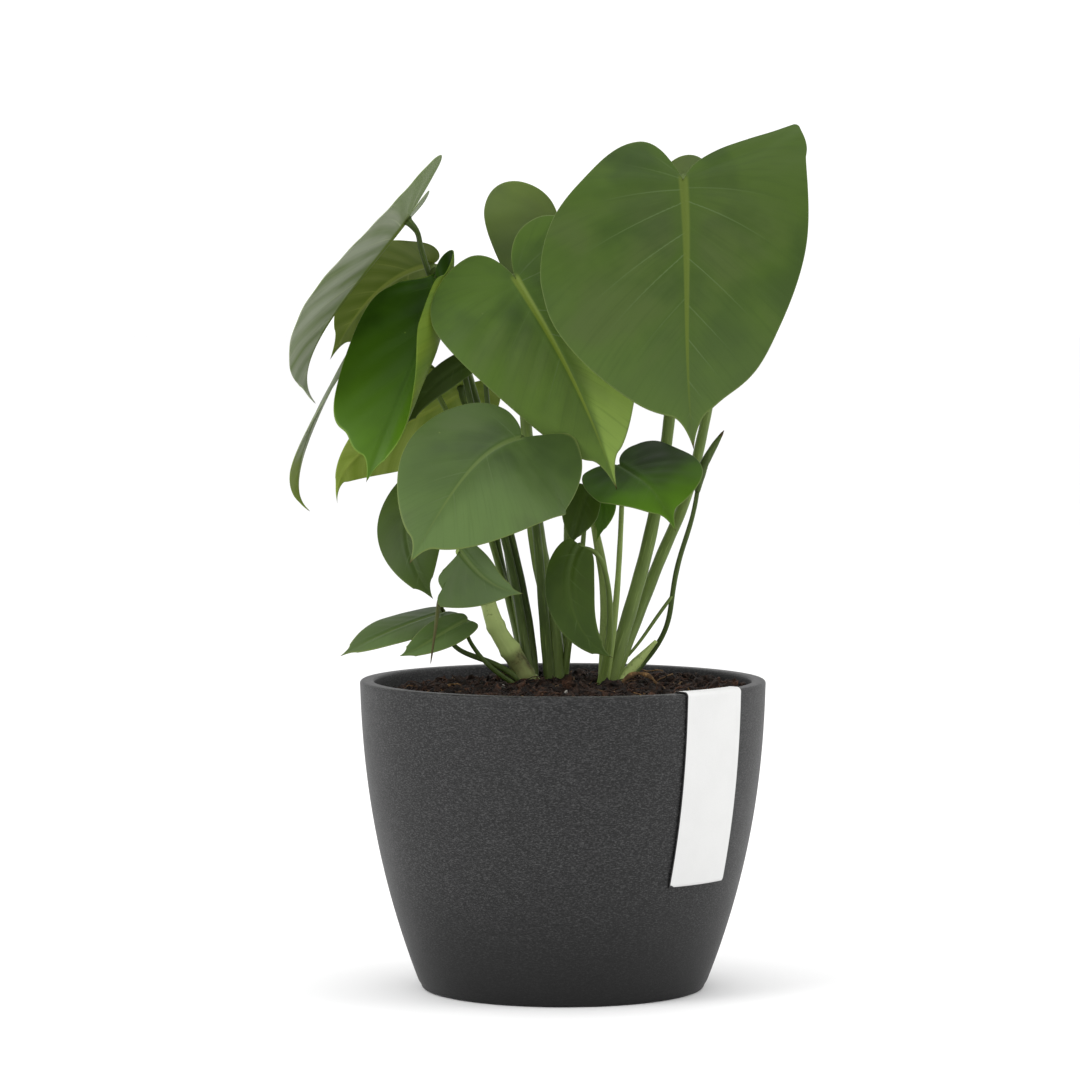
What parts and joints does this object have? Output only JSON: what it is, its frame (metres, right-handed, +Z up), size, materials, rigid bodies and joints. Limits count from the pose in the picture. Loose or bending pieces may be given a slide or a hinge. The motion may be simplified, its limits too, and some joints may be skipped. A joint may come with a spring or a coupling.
{
  "type": "potted swiss cheese plant",
  "caption": "Young swiss cheese plant with whole heart-shaped leaves on long stalks, standing in a round tapering pot of soil with a blank card tag over the rim.",
  "frame": {"origin": "centre of the pot's flat underside, on the surface that the pot stands on", "axes": "+Z up along the pot's axis, -Y towards the viewer of the picture, +X to that viewer's right"},
  "size_m": [0.2554, 0.2, 0.423],
  "materials": {
    "pot": "matte",
    "soil": "matte",
    "tag": "satin",
    "leaf": "satin",
    "rolled_leaf": "satin",
    "dry_leaf": "matte",
    "stalk": "satin"
  },
  "bodies": {
    "root": {"pot": "pot", "soil": "soil", "tag": "tag", "leaf_tall_right": "leaf", "leaf_right_back": "leaf", "leaf_back_centre": "leaf", "leaf_centre_tall": "leaf", "leaf_left_top": "leaf", "leaf_left_arched": "leaf", "leaf_left_front": "leaf", "leaf_left_edge": "leaf", "leaf_inner_dark": "leaf", "leaf_left_under": "leaf", "leaf_front_centre": "leaf", "leaf_left_low": "leaf", "leaf_front_small": "leaf", "leaf_low_left": "leaf", "leaf_low_near": "leaf", "leaf_right_small": "leaf", "leaf_hanging": "leaf", "leaf_inner_small": "leaf", "leaf_inner_back": "leaf", "leaf_rolled_right": "rolled_leaf", "leaf_rolled_low": "dry_leaf", "stalks_right": "stalk", "stalks_centre": "stalk", "stalks_left": "stalk"}
  },
  "joints": []
}
